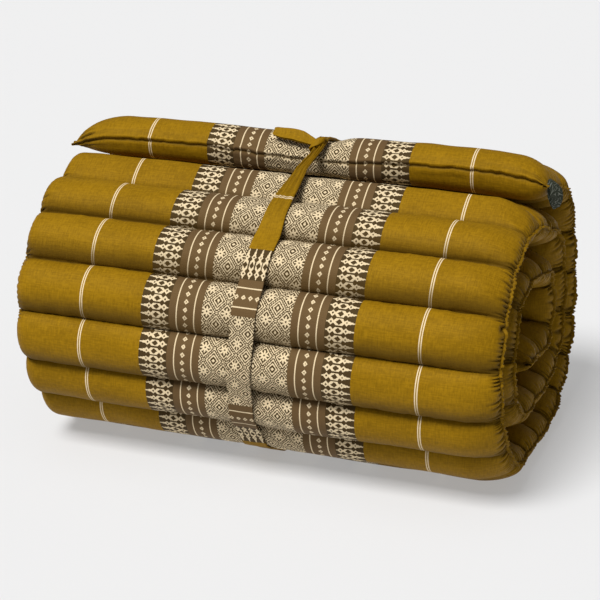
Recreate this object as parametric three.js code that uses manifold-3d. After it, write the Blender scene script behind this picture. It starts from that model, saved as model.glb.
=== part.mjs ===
// A padded floor mat sewn in cross channels, rolled up and tied round its middle.
// Millimetres. +X runs along the roll, -Y is its front, +Z is up, and it lies on z = 0.
import * as THREE from "three";
import { mergeVertices } from "three/addons/utils/BufferGeometryUtils.js";
import Module from "manifold-3d";

// The mat: its length across the roll, and its channels, counted from the outer end inwards.
// The first ones, on the back of the roll, are a little narrower than the rest.
// The outer end lies over the back of the covered channel.
const MAT_WIDTH = 500;
const CHANNEL_COUNT = 36;
const COVERED_CHANNEL = 18;
const CHANNEL_PITCH = 48.8;
const BACK_CHANNELS = 12;
const BACK_CHANNEL_PITCH = 47.7;
const HALF_THICKNESS = 23.8;
const STITCH_HALF_THICKNESS = 11;
const TURN_GAP = 0.8;
const MIN_HALF_THICKNESS = 13;
const OUTER_END_SQUASH = 0.95;
const SAME_TURN_REACH = 3 * CHANNEL_PITCH;

// Its side ends: how far in the padding starts to round off, on a channel and on the loose
// outer one, how much the edge is drawn in on every channel but that one and at each stitch
// line, how far the top of the roll leans towards -X, and how far the loose corners droop.
const END_ROUNDING = 22;
const LOOSE_END_ROUNDING = 50;
const END_POWER = 2.5;
const LOOSE_END_POWER = 2;
const EDGE_TUCK = 4;
const EDGE_SCALLOP = 2.5;
const SCALLOP_POWER = 12;
const END_LEAN = 4;
const LEAN_POWER = 3;
const CORNER_DROOP = 11;
const DROOP_POWER = 8;

// The way it is wound: the radius of the mat's middle at each hour of a clock face seen
// from the +X end, for the outer turn, the middle turn and the inner turn.
const ROLL_CENTRE = { y: -13.9, z: 150 };
const WINDING = [
  { hour: 0, outer: 146, middle: 96, inner: 49 },
  { hour: 1, outer: 138, middle: 94, inner: 48 },
  { hour: 2, outer: 166, middle: 114, inner: 64 },
  { hour: 3, outer: 171, middle: 121, inner: 71 },
  { hour: 4, outer: 177, middle: 124, inner: 66 },
  { hour: 5, outer: 152, middle: 97, inner: 45 },
  { hour: 6, outer: 129, middle: 81, inner: 34 },
  { hour: 7, outer: 135, middle: 90, inner: 40 },
  { hour: 8, outer: 142, middle: 97, inner: 50 },
  { hour: 9, outer: 144, middle: 94, inner: 50 },
  { hour: 10, outer: 126, middle: 79, inner: 50 },
  { hour: 11, outer: 107, middle: 58, inner: 50 },
];
const OUTER_END_HOUR = 0.17;
const HOURS = 12;

// The tie: a flat strap round the middle. Its middle stands at each x at these hours.
const TIE_WIDTH = 25;
const TIE_THICKNESS = 2;
const TIE_GAP = 1.1;
const TIE_DIP = 2;
const TIE_FLOOR_GAP = 0.6;
const TIE_BRIDGE_LIFT = 2.5;
const TIE_NOSE_FORWARD = 5;
const TIE_NOSE_SPAN = 0.24;
const TIE_SINK_REACH = 17;
const TIE_SINK_RAMP = 4;
const TIE_SINK_X = -5;
const TIE_STEPS = 90;
const TIE_COURSE = [
  { hour: 0, x: 14 },
  { hour: 1, x: 22 },
  { hour: 3, x: 18 },
  { hour: 5, x: -3 },
  { hour: 7, x: -7 },
  { hour: 9, x: -2 },
  { hour: 11, x: 2 },
];

// Its knot on the front of the loose channel, and the one flat bow ear that lies beside it.
const KNOT = { x: 14, y: -4, z: 302, along: 20, across: 22, height: 11, raised: 3.7 };
const KNOT_FOLDS = { count: 5, depth: 0.7 };
const BOW_EAR = { length: 50, width: 22, height: 8, gap: 3, tucked: 7.3 };

// The bare label that hangs from the side seam of the loose channel, at the +X end.
const LABEL_WIDTH = 27;
const LABEL_DROP = 31;
const LABEL_THICKNESS = 1.2;
const LABEL_CURL = 5.6;
const LABEL_CURL_ANGLE = Math.PI / 3;
const LABEL_START = { x: 247.6, y: 3.1, z: 291 };

// How finely the solid is cut up: places along one channel and along the roll, the parts of
// an hour at which the winding is walked, and the facets of the knot, bow ear and label.
const CHANNEL_STEPS = [0, 0.07, 0.24, 0.5, 0.76, 0.93];
const END_STEPS = [0, 0.5, 0.85, 1];
const LOOSE_END_STATION = 204;
const WALK_HOURS = 0.005;
const SEAT_STEP = 0.002;
const KNOT_FACETS = { round: 20, tall: 12 };
const EAR_FACETS = 6;
const LABEL_FACETS = { down: 6, over: 3 };
const MERGE_WITHIN = 1e-3;

const COVER = new THREE.MeshStandardMaterial({ color: 0x9c7a1e, roughness: 0.6, metalness: 0 });
const STRAP = new THREE.MeshStandardMaterial({ color: 0x8f7418, roughness: 0.6, metalness: 0 });
const LABEL = new THREE.MeshStandardMaterial({ color: 0x26352c, roughness: 0.7, metalness: 0 });

// Catmull-Rom value between evenly spaced numbers: the curve passes through each of them.
function smoothRow(values, place) {
  const last = values.length - 1;
  const index = Math.min(Math.max(Math.floor(place), 0), last - 1);
  const t = place - index;
  const at = (k) => values[Math.min(Math.max(k, 0), last)];
  const [a, b, c, d] = [at(index - 1), at(index), at(index + 1), at(index + 2)];
  const slope = (c - a) * t;
  const bend = (2 * a - 5 * b + 4 * c - d) * t * t;
  const twist = (3 * b - 3 * c + d - a) * t * t * t;
  return 0.5 * (2 * b + slope + bend + twist);
}

// The point of the mat's middle at so many hours from the top, counted inwards.
const RADII = ["outer", "middle", "inner"].flatMap((turn) => WINDING.map((row) => row[turn]));
function windingPoint(hours) {
  const radius = smoothRow(RADII, hours);
  const angle = (hours / HOURS) * 2 * Math.PI;
  return {
    y: ROLL_CENTRE.y + radius * Math.sin(angle),
    z: ROLL_CENTRE.z + radius * Math.cos(angle),
  };
}

// The middle line as places, each with its distance from the outer end and outward normal.
function middleLine() {
  const fine = [];
  let distance = 0;
  for (let hours = OUTER_END_HOUR; hours < RADII.length - 1; hours += WALK_HOURS) {
    const here = windingPoint(hours);
    const before = fine[fine.length - 1];
    if (before) distance += Math.hypot(here.y - before.y, here.z - before.z);
    fine.push({ ...here, distance });
  }
  const places = [];
  let cursor = 1;
  const wanted = [];
  for (let channel = 0; channel < CHANNEL_COUNT; channel += 1) {
    for (const step of CHANNEL_STEPS) wanted.push({ channel, across: step });
  }
  wanted.push({ channel: CHANNEL_COUNT - 1, across: 1 });
  for (const { channel, across } of wanted) {
    const place = channel + across;
    const onBack = Math.min(place, BACK_CHANNELS);
    const target = onBack * BACK_CHANNEL_PITCH + (place - onBack) * CHANNEL_PITCH;
    while (cursor < fine.length - 2 && fine[cursor].distance < target) cursor += 1;
    const [a, b] = [fine[cursor - 1], fine[cursor + 1]];
    const length = Math.hypot(b.y - a.y, b.z - a.z);
    const normal = { y: -(b.z - a.z) / length, z: (b.y - a.y) / length };
    places.push({ y: fine[cursor].y, z: fine[cursor].z, distance: target, channel, across, normal });
  }
  return places;
}

// Half the padding that a place has room for, on its outer (+1) or inner (-1) side:
// half the way to the next turn, less half the gap, and never more than the full padding.
function roomBeside(place, places, side) {
  let nearest = Infinity;
  for (const other of places) {
    if (Math.abs(other.distance - place.distance) < SAME_TURN_REACH) continue;
    const dy = other.y - place.y;
    const dz = other.z - place.z;
    if ((dy * place.normal.y + dz * place.normal.z) * side <= 0) continue;
    nearest = Math.min(nearest, Math.hypot(dy, dz));
  }
  const room = (nearest - TURN_GAP) / 2;
  const full = place.channel === 0 ? OUTER_END_SQUASH * HALF_THICKNESS : HALF_THICKNESS;
  return Math.max(Math.min(full, room), MIN_HALF_THICKNESS);
}

// Height of a channel's crown over the middle line: an arc from stitch line to stitch line.
// The first and last channels run down to the end seam, where the two faces meet.
function crown(place, room) {
  const arc = Math.sqrt(Math.max(1 - (2 * place.across - 1) ** 2, 0));
  const nearOuterEnd = place.channel === 0 && place.across < 0.5;
  const nearInnerEnd = place.channel === CHANNEL_COUNT - 1 && place.across > 0.5;
  const stitch = nearOuterEnd || nearInnerEnd ? 0 : Math.min(STITCH_HALF_THICKNESS, room);
  return stitch + (room - stitch) * arc;
}

// How much of the crown is left at a distance x along the roll: a blunt quarter round at a
// channel's end, and a longer, rounder one on the loose channel.
function endProfile(place, x) {
  const loose = place.channel === 0;
  const reach = loose ? LOOSE_END_ROUNDING : END_ROUNDING;
  const power = loose ? LOOSE_END_POWER : END_POWER;
  const into = Math.max((Math.abs(x) - (MAT_WIDTH / 2 - reach)) / reach, 0);
  return Math.max(1 - into ** power, 0) ** (1 / power);
}

// Stations along the roll: both rounded ends, and the dent that the tie lies in.
function stations() {
  const straight = MAT_WIDTH / 2 - END_ROUNDING;
  const right = [LOOSE_END_STATION, ...END_STEPS.map((step) => straight + step * END_ROUNDING)];
  const left = right.map((x) => -x).reverse();
  const reach = TIE_SINK_REACH + TIE_SINK_RAMP;
  const dent = [-reach, -TIE_SINK_REACH, TIE_SINK_REACH, reach].map((x) => TIE_SINK_X + x);
  return [...left, ...dent, ...right];
}

// One point of the mat's outer (+1) or inner (-1) face.
function facePoint(place, x, side, room) {
  const height = side * crown(place, room) * endProfile(place, x);
  const underTie = Math.abs(x - TIE_SINK_X) < TIE_SINK_REACH + 1;
  const floor = underTie ? TIE_THICKNESS + TIE_FLOOR_GAP + TIE_GAP : 0;
  const share = Math.abs(x) / (MAT_WIDTH / 2);
  const droop = place.channel === 0 ? CORNER_DROOP * share ** DROOP_POWER * (1 - place.across) : 0;
  const y = place.y + place.normal.y * height;
  const z = Math.max(place.z + place.normal.z * height - droop, floor);
  const tuck = place.channel === 0 ? 0 : EDGE_TUCK;
  const drawnIn = (tuck + EDGE_SCALLOP * (2 * place.across - 1) ** 2) * share ** SCALLOP_POWER;
  const lean = END_LEAN * ((z - ROLL_CENTRE.z) / ROLL_CENTRE.z) * share ** LEAN_POWER;
  return [x - Math.sign(x) * drawnIn - lean, y, z];
}

// The mat: two grids of points, one a face, that share their points along the seams.
function matGeometry() {
  const places = middleLine();
  const columns = stations();
  const points = [];
  const faceIndex = (side) => {
    const room = places.map((place) => roomBeside(place, places, side));
    return places.map((place, i) =>
      columns.map((x) => {
        points.push(...facePoint(place, x, side, room[i]));
        return points.length / 3 - 1;
      }),
    );
  };
  const outer = faceIndex(1);
  const inner = faceIndex(-1);
  const triangles = [];
  for (const [face, flip] of [[outer, false], [inner, true]]) {
    for (let i = 0; i < places.length - 1; i += 1) {
      for (let j = 0; j < columns.length - 1; j += 1) {
        const quad = [face[i][j], face[i][j + 1], face[i + 1][j + 1], face[i + 1][j]];
        const towardsCorner = i < places.length / 2 === j < columns.length / 2;
        const [a, b, c, d] = towardsCorner ? quad : [quad[1], quad[2], quad[3], quad[0]];
        if (flip) triangles.push(a, c, b, a, d, c);
        else triangles.push(a, b, c, a, c, d);
      }
    }
  }
  return closedGeometry(points, triangles);
}

// A mesh of shared points with its flat triangles left out.
function closedGeometry(points, triangles) {
  const raw = new THREE.BufferGeometry();
  raw.setAttribute("position", new THREE.Float32BufferAttribute(points, 3));
  raw.setIndex(triangles);
  const merged = mergeVertices(raw, MERGE_WITHIN);
  merged.setIndex(withoutFlatTriangles(Array.from(merged.index.array)));
  merged.computeVertexNormals();
  return merged;
}

// The triangles whose three corners are three different points.
function withoutFlatTriangles(index) {
  const kept = [];
  for (let i = 0; i < index.length; i += 3) {
    const [a, b, c] = index.slice(i, i + 3);
    if (a !== b && b !== c && a !== c) kept.push(a, b, c);
  }
  return kept;
}

// The x of the tie's middle at an hour of the clock.
function tieX(hour) {
  const last = TIE_COURSE.length - 1;
  const next = TIE_COURSE.findIndex((row) => row.hour > hour);
  const after = next < 0 ? { hour: HOURS, x: TIE_COURSE[0].x } : TIE_COURSE[next];
  const before = next < 0 ? TIE_COURSE[last] : TIE_COURSE[next - 1];
  const share = (hour - before.hour) / (after.hour - before.hour);
  return before.x + (after.x - before.x) * (0.5 - 0.5 * Math.cos(Math.PI * share));
}

// The closed course of the tie in y and z: on the padding of the outer turn, dipping only a
// little into its grooves, and across the step from the loose channel to the next turn.
function tieCourse(places) {
  const clear = TIE_GAP + TIE_THICKNESS / 2;
  const lowest = TIE_FLOOR_GAP + TIE_THICKNESS / 2;
  const points = [];
  const over = (place, lift, forward) => {
    const y = place.y + place.normal.y * lift - forward;
    const z = Math.max(place.z + place.normal.z * lift, lowest);
    points.push(new THREE.Vector3(0, y, z));
  };
  for (const place of places) {
    const loose = place.channel === 0;
    const last = place.channel === COVERED_CHANNEL;
    if (last && place.across > 0.5) break;
    const room = roomBeside(place, places, 1);
    const height = crown(place, room);
    const nose = loose ? Math.max(1 - place.across / TIE_NOSE_SPAN, 0) : 0;
    const padding = loose && place.across < 0.5 ? height : Math.max(height, room - TIE_DIP);
    over(place, padding + clear + (last ? TIE_BRIDGE_LIFT : 0), nose * TIE_NOSE_FORWARD);
  }
  return new THREE.CatmullRomCurve3(points, true, "centripetal");
}

// The strap: a flat section carried round its course.
function strapGeometry(course) {
  const points = [];
  const triangles = [];
  for (let i = 0; i < TIE_STEPS; i += 1) {
    const at = course.getPointAt(i / TIE_STEPS);
    const along = course.getTangentAt(i / TIE_STEPS);
    const out = new THREE.Vector3(0, -along.z, along.y);
    const angle = Math.atan2(at.y - ROLL_CENTRE.y, at.z - ROLL_CENTRE.z);
    const middle = tieX((((angle / (2 * Math.PI)) * HOURS) + HOURS) % HOURS);
    const height = Math.max(at.z, TIE_FLOOR_GAP + TIE_THICKNESS / 2);
    for (const [across, up] of [[-1, -1], [1, -1], [1, 1], [-1, 1]]) {
      const lift = (up * TIE_THICKNESS) / 2;
      points.push(middle + (across * TIE_WIDTH) / 2, at.y + out.y * lift, height + out.z * lift);
    }
    const next = ((i + 1) % TIE_STEPS) * 4;
    for (let k = 0; k < 4; k += 1) {
      const [a, b] = [i * 4 + k, i * 4 + ((k + 1) % 4)];
      const [c, d] = [next + ((k + 1) % 4), next + k];
      triangles.push(a, c, b, a, d, c);
    }
  }
  return closedGeometry(points, triangles);
}

// Where the knot sits: on the strap, over the front of the loose channel.
function knotSeat(course) {
  let best = 0;
  for (let i = 0; i <= 1; i += SEAT_STEP) {
    const gap = (k) => course.getPointAt(k).distanceTo(new THREE.Vector3(0, KNOT.y, KNOT.z));
    if (gap(i) < gap(best)) best = i;
  }
  const at = course.getPointAt(best);
  const along = course.getTangentAt(best).normalize();
  return new THREE.Matrix4().makeBasis(
    new THREE.Vector3(1, 0, 0),
    along,
    new THREE.Vector3(0, -along.z, along.y),
  ).setPosition(KNOT.x, at.y, at.z);
}

// The knot: a round bundle with folds that run along the strap, flat where it lies on it.
function knotGeometry(seat) {
  const knot = new THREE.SphereGeometry(1, KNOT_FACETS.round, KNOT_FACETS.tall);
  const points = knot.attributes.position;
  const seatSide = -TIE_THICKNESS / 2;
  for (let i = 0; i < points.count; i += 1) {
    const [x, y, z] = [points.getX(i), points.getY(i), points.getZ(i)];
    const fold = Math.cos(KNOT_FOLDS.count * Math.PI * x);
    const swell = 1 + (KNOT_FOLDS.depth / KNOT.height) * fold;
    const up = Math.max((z * swell * KNOT.height) / 2 + KNOT.raised, seatSide);
    points.setXYZ(i, (x * KNOT.across) / 2, (y * KNOT.along) / 2, up);
  }
  return solidFrom(knot, seat);
}

// The bow ear: the strap folded back on itself, lying flat to the -X side of the knot.
function earGeometry(seat) {
  const half = BOW_EAR.height / 2;
  const hole = BOW_EAR.gap / 2;
  const outline = new THREE.Shape();
  outline.moveTo(0, -half);
  outline.lineTo(-BOW_EAR.length + half, -half);
  outline.absarc(-BOW_EAR.length + half, 0, half, -Math.PI / 2, Math.PI / 2, true);
  outline.lineTo(0, half);
  const inside = new THREE.Path();
  inside.moveTo(-BOW_EAR.tucked, -hole);
  inside.lineTo(-BOW_EAR.tucked, hole);
  inside.lineTo(-BOW_EAR.length + half, hole);
  inside.absarc(-BOW_EAR.length + half, 0, hole, Math.PI / 2, -Math.PI / 2, false);
  outline.holes.push(inside);
  const ear = new THREE.ExtrudeGeometry(outline, {
    depth: BOW_EAR.width,
    steps: 1,
    curveSegments: EAR_FACETS,
    bevelEnabled: false,
  });
  ear.rotateX(-Math.PI / 2);
  ear.translate(0, -BOW_EAR.width / 2, half - TIE_THICKNESS / 2);
  return solidFrom(ear, seat);
}

// A closed mesh as a solid that can be joined, after it is put in its seat.
function solidFrom(geometry, seat) {
  const bare = new THREE.BufferGeometry();
  bare.setAttribute("position", geometry.attributes.position.clone());
  bare.setIndex(geometry.index ? Array.from(geometry.index.array) : null);
  if (seat) bare.applyMatrix4(seat);
  const merged = mergeVertices(bare, MERGE_WITHIN);
  const triangles = withoutFlatTriangles(Array.from(merged.index.array));
  return new wasm.Manifold(
    new wasm.Mesh({
      numProp: 3,
      vertProperties: new Float32Array(merged.attributes.position.array),
      triVerts: new Uint32Array(triangles),
    }),
  );
}

// The label: a thin folded tag whose lower edge curls away from the roll's end.
function labelGeometry() {
  const rows = LABEL_FACETS.down;
  const columns = LABEL_FACETS.over;
  const points = [];
  const triangles = [];
  const index = (side, row, column) => (side * (rows + 1) + row) * (columns + 1) + column;
  for (const side of [0, 1]) {
    for (let row = 0; row <= rows; row += 1) {
      for (let column = 0; column <= columns; column += 1) {
        const down = row / rows;
        const over = column / columns;
        const curl = LABEL_CURL * Math.sin(down * LABEL_CURL_ANGLE);
        const x = LABEL_START.x + side * LABEL_THICKNESS + curl;
        points.push(x, LABEL_START.y + over * LABEL_WIDTH, LABEL_START.z - down * LABEL_DROP);
      }
    }
  }
  const quad = (a, b, c, d) => triangles.push(a, b, c, a, c, d);
  for (let row = 0; row < rows; row += 1) {
    for (let column = 0; column < columns; column += 1) {
      const corner = (side, r, c) => index(side, row + r, column + c);
      quad(corner(0, 0, 0), corner(0, 0, 1), corner(0, 1, 1), corner(0, 1, 0));
      quad(corner(1, 0, 0), corner(1, 1, 0), corner(1, 1, 1), corner(1, 0, 1));
    }
    const near = (side, r) => index(side, row + r, 0);
    const far = (side, r) => index(side, row + r, columns);
    quad(near(0, 0), near(0, 1), near(1, 1), near(1, 0));
    quad(far(0, 0), far(1, 0), far(1, 1), far(0, 1));
  }
  for (let column = 0; column < columns; column += 1) {
    const top = (side, c) => index(side, 0, column + c);
    const hem = (side, c) => index(side, rows, column + c);
    quad(top(0, 0), top(1, 0), top(1, 1), top(0, 1));
    quad(hem(0, 0), hem(0, 1), hem(1, 1), hem(1, 0));
  }
  return closedGeometry(points, triangles);
}

// The strap, the knot and the bow ear are one piece of cloth, so they are one solid.
function tieGeometry() {
  const course = tieCourse(middleLine());
  const seat = knotSeat(course);
  const joined = solidFrom(strapGeometry(course)).add(knotGeometry(seat)).add(earGeometry(seat));
  const { vertProperties, triVerts } = joined.getMesh();
  return closedGeometry(Array.from(vertProperties), Array.from(triVerts));
}

const wasm = await Module();
wasm.setup();

const pieces = [
  { name: "mat", geometry: matGeometry(), material: COVER },
  { name: "tie", geometry: tieGeometry(), material: STRAP },
  { name: "label", geometry: labelGeometry(), material: LABEL },
];

const group = new THREE.Group();
for (const { name, geometry, material } of pieces) {
  const mesh = new THREE.Mesh(geometry, material);
  mesh.name = name;
  group.add(mesh);
}

export default group;
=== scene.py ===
"""A padded floor mat sewn in cross channels, rolled up and tied round its middle.

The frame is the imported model's: metres, +X along the roll, -Y its front, +Z up. Sizes in
this script are millimetres until a mesh is made.
"""
import math

import bmesh
import bpy
import numpy as np
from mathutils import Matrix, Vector


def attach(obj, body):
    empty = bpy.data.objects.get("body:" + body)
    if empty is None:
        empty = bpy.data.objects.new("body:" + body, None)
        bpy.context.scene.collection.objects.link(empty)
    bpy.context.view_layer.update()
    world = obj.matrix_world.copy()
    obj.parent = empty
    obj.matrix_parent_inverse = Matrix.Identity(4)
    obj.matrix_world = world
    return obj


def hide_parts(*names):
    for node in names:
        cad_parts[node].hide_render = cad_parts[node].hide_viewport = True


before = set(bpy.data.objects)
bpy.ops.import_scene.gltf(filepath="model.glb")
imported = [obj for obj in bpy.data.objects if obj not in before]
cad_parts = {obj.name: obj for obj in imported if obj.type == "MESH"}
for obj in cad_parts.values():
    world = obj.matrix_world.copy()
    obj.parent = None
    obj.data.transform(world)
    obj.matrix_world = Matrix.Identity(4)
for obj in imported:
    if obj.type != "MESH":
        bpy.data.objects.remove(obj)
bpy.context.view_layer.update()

MM = 0.001

# The photograph's view, in metres.
CAMERA_AT = (0.6205, -1.7395, 0.8531)
CAMERA_TARGET = (0, -0.0062, 0.1574)
CAMERA_LENS = 115.6
CAMERA_SHIFT = (-0.0068, -0.0278)

# The mat: the same winding, channels and padding as the solid.
MAT_WIDTH = 500
CHANNEL_COUNT = 36
COVERED_CHANNEL = 18
CHANNEL_PITCH = 48.8
BACK_CHANNELS = 12
BACK_CHANNEL_PITCH = 47.7
HALF_THICKNESS = 23.8
STITCH_HALF_THICKNESS = 7.5
CROWN_POWER = 1.82
TURN_GAP = 0.6
MIN_HALF_THICKNESS = 12
OUTER_END_SQUASH = 0.95
END_ROUNDING = 30
LOOSE_END_ROUNDING = 50
END_POWER = 2.3
END_RELIEF = 0.62
END_RELIEF_REACH = (205, 244)
LEFT_END_RELIEF = 0.97
LEFT_END_ROUNDING = 21
LOOSE_RIGHT_ROUNDING = 36
LOOSE_END_POWER = 2
EDGE_TUCK = 4
EDGE_SCALLOP = 2
END_LEAN = 4
CORNER_DROOP = 13
LEFT_CORNER_DROOP = 18
CORNER_REACH = 6
LOOSE_LOWER_FACE = 0.90
WEDGE_FILL = 6.5
LOOSE_LIFT = 1.5
LOOSE_RIGHT_LIFT = 3.5
SEAM_SAG = 4.6
SEAM_SAG_MIDDLE = 3
SEAM_SAG_REACH = 16
ROLL_CENTRE_Y = -13.9
ROLL_CENTRE_Z = 150
HOURS = 12
OUTER_END_HOUR = 0.17

# Radius of the mat's middle at each hour of a clock face seen from the +X end, turn by turn.
OUTER_TURN = [146, 138, 166, 171, 177, 152, 129, 139, 143, 144, 128, 112]
MIDDLE_TURN = [98, 94, 114, 121, 124, 97, 81, 90, 97, 94, 79, 58]
INNER_TURN = [49, 48, 64, 71, 66, 45, 34, 40, 50, 50, 50, 50]

# How finely the cloth is cut up.
ROWS_OUTER_END = 110
ROWS_SHOWN = 56
ROWS_HIDDEN = 34
END_COLUMNS = 16
EDGE_STEP = 2.2
MIDDLE_STEP = 4.6
EDGE_ZONE = 40
SEAM_SET_BACK = 1.4
SEAM_DEPTH = 2.6
PLEAT_SPACING = 6.1
PLEAT_LENGTH = 16
PLEAT_DEPTH = 2.3

# The woven bands, as distances from the middle of the cloth, and their repeats.
LATTICE_EDGE = 45
INNER_LINE = 53
DIAMOND_CHAIN = 62
OUTER_LINE = 71
BORDER_START = 78.5
BORDER_END = 107.4
PINSTRIPE = 171
FLOWER_ACROSS = 20
FLOWER_ALONG = 23.5
CHAIN_REPEAT = 8
PIXEL = 0.6

# How far the pattern lies towards +X at these channels, counted from the outer end.
SHIFTED_CHANNELS = [0, 14, 15, 16, 17, 18, 19, 20]
PATTERN_SHIFT = [0, 0, 1, 2.5, 4.5, 6.5, 7.5, 7.5]

# Colours of the cloth, as they look in even light.
OLIVE = (0.262, 0.139, 0.0034)
OLIVE_DARK = (0.178, 0.092, 0.0018)
CREAM = (0.660, 0.530, 0.335)
BROWN = (0.108, 0.064, 0.028)
DARK_BROWN = (0.050, 0.030, 0.012)
# Painted shade: the brown that the cloth is darkened towards in pleats, seams, grooves and on the
# lower sides of the channels, and how strong that shade is.
PAINTED_SHADE_BROWN = (0.050, 0.026, 0.003)
PAINTED_SHADE_STRENGTH = 0.72
GROOVE_SHADE = 0.34
GROOVE_SHADE_AT_ENDS = 0.46
UNDERSIDE_SHADE = 1.0
LABEL_GREEN = (0.020, 0.024, 0.013)
LABEL_PAINTED_HIGHLIGHT = (0.30, 0.31, 0.26)
FLOOR_GREY = (0.40, 0.40, 0.402)
FLOOR_GLOW = 0.338

# The tie.
STRAP_WIDTH = 25
STRAP_THICKNESS = 1.5
STRAP_DIP = 1.4
STRAP_BITE = 7
STRAP_BITE_REACH = 19
STRAP_LIFT = 0.7
STRAP_STEP = 1.6
STRAP_HOURS = [0, 0.15, 0.5, 1, 3, 5, 7, 7.8, 8.16, 8.62, 9.07,
               9.39, 9.79, 9.97, 10.17, 10.41, 10.72, 11.14, 11.52, 11.74, 11.92, 12]
STRAP_X = [12, 14, 16, 17, 12, -3, -8, -8, -7.7, -4.8, -2,
           -1, 0.6, 1, 2.7, 3.7, 3.6, 4.4, 5.8, 6.9, 9.8, 12]
STRAP_WIDE_HOURS = [0, 0.1, 0.5, 1.3, 10.42, 10.72, 11.15, 11.4, 11.63, 11.86, 12]
STRAP_WIDE = [9, 9, 10, 25, 25, 22.5, 18, 15.6, 13.6, 11, 9]
STRAP_NOSE = (-5.5, 296.5)
LATTICE_TOP_HOUR = 9.39
STRAP_PATTERN_SPREAD = 1.075
STRAP_PATTERN_NARROWING = 1.16

# The knot on the strap's nose, in the strap's own directions there, and the bow ear.
KNOT_AT = (11.8, 2.5, 305)
KNOT_SIZE = (5.6, 7.4, 4.4)
KNOT_ACROSS = np.array([0.97, 0.14, 0.2])
KNOT_UP = np.array([0.2, 0.68, 0.70])
KNOT_OUT = np.array([0, -0.72, 0.69])
EAR_MIDDLE = [(8.2, 3, 305.5), (1.9, 5, 306.5), (-6.5, 5.5, 308.9),
              (-15.9, 7, 310), (-26.9, 8, 310.3), (-37.5, 9, 311.4)]
EAR_LAYER_GAP = 1.6
WRAP_WIDE = 6.5
EAR_WIDE_PLACES = [0, 0.12, 0.4, 0.75, 0.93, 1]
EAR_WIDE = [5, 8.5, 12.5, 12, 10, 8]
EAR_SLOPE = np.array([0.12, 0.72, 0.66])
EAR_OUT = np.array([0, -0.62, 0.78])

# The bare label at the +X end of the loose channel.
LABEL_AT = (243.5, 7, 291)
LABEL_DROP = 30
LABEL_WIDE_PLACES = [0, 0.15, 0.45, 0.8, 1]
LABEL_WIDE = [4, 10, 17, 14, 8]
LABEL_OVER = (0.55, 0.8, -0.15)


def noise(a, b, seed):
    """Smooth noise from -1 to 1: random numbers on a grid, eased from one to the next."""
    table = np.random.default_rng(seed).uniform(-1, 1, (257, 257))
    low_a = np.floor(a).astype(int)
    low_b = np.floor(b).astype(int)
    ease_a = (a - low_a) ** 2 * (3 - 2 * (a - low_a))
    ease_b = (b - low_b) ** 2 * (3 - 2 * (b - low_b))
    at = lambda i, j: table[(low_a + i) % 257, (low_b + j) % 257]
    first = at(0, 0) * (1 - ease_a) + at(1, 0) * ease_a
    second = at(0, 1) * (1 - ease_a) + at(1, 1) * ease_a
    return first * (1 - ease_b) + second * ease_b


def noise_along(values, size, seed):
    """Smooth noise that changes along one direction only, over stretches of that size."""
    return noise(values / size, 0.5 + 0 * values, seed)


def ease(value, start, stop):
    """0 before start, 1 after stop, and a smooth step between."""
    share = np.clip((value - start) / (stop - start), 0, 1)
    return share * share * (3 - 2 * share)


def smooth_row(values, place):
    """Catmull-Rom value between evenly spaced numbers: the curve passes through each."""
    values = np.asarray(values, float)
    last = len(values) - 1
    index = np.clip(np.floor(place).astype(int), 0, last - 1)
    t = place - index
    a = values[np.clip(index - 1, 0, last)]
    b = values[index]
    c = values[np.clip(index + 1, 0, last)]
    d = values[np.clip(index + 2, 0, last)]
    bend = (2 * a - 5 * b + 4 * c - d) * t * t
    twist = (3 * b - 3 * c + d - a) * t ** 3
    return 0.5 * (2 * b + (c - a) * t + bend + twist)


def middle_line():
    """The line in the middle of the padding, from the outer end inwards, wound round the
    roll's centre, as y, z, distance from the outer end and outward normal."""
    radii = OUTER_TURN + MIDDLE_TURN + INNER_TURN
    hours = np.arange(OUTER_END_HOUR, len(radii) - 1, 0.004)
    radius = smooth_row(radii, hours)
    angle = hours / HOURS * 2 * np.pi
    y = ROLL_CENTRE_Y + radius * np.sin(angle)
    z = ROLL_CENTRE_Z + radius * np.cos(angle)
    steps = np.hypot(np.diff(y), np.diff(z))
    distance = np.concatenate([[0], np.cumsum(steps)])
    slope = np.hypot(np.gradient(y), np.gradient(z))
    normal_y = -np.gradient(z) / slope
    normal_z = np.gradient(y) / slope
    return dict(y=y, z=z, distance=distance, ny=normal_y, nz=normal_z)


def row_places():
    """Channel and share across it of every row of the cloth, closer at the stitch lines."""
    channels = []
    shares = []
    for channel in range(CHANNEL_COUNT):
        count = ROWS_SHOWN if channel <= COVERED_CHANNEL + 1 else ROWS_HIDDEN
        if channel == 0:
            count = ROWS_OUTER_END
        even = np.arange(count) / count
        rounded = 0.5 - 0.5 * np.cos(np.pi * even)
        share = rounded if channel == 0 else 0.6 * even + 0.4 * rounded
        channels.append(np.full(count, channel))
        shares.append(share)
    channels.append([CHANNEL_COUNT - 1])
    shares.append([1.0])
    return np.concatenate(channels), np.concatenate(shares)


def rows_on(line):
    """The rows as places on the middle line, with the room for padding on both sides. The
    channel in front of the loose one swells into the wedge under its rounded edge."""
    channel, across = row_places()
    on_back = np.minimum(channel + across, BACK_CHANNELS)
    distance = on_back * BACK_CHANNEL_PITCH + (channel + across - on_back) * CHANNEL_PITCH
    rows = dict(channel=channel, across=across, distance=distance)
    for key in ("y", "z", "ny", "nz"):
        rows[key] = np.interp(distance, line["distance"], line[key])
    wedge = np.exp(-((channel + across - COVERED_CHANNEL - 0.55) / 0.3) ** 2)
    rows["outer"] = room_beside(rows, line, 1) + WEDGE_FILL * wedge
    rows["inner"] = room_beside(rows, line, -1)
    return rows


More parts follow.
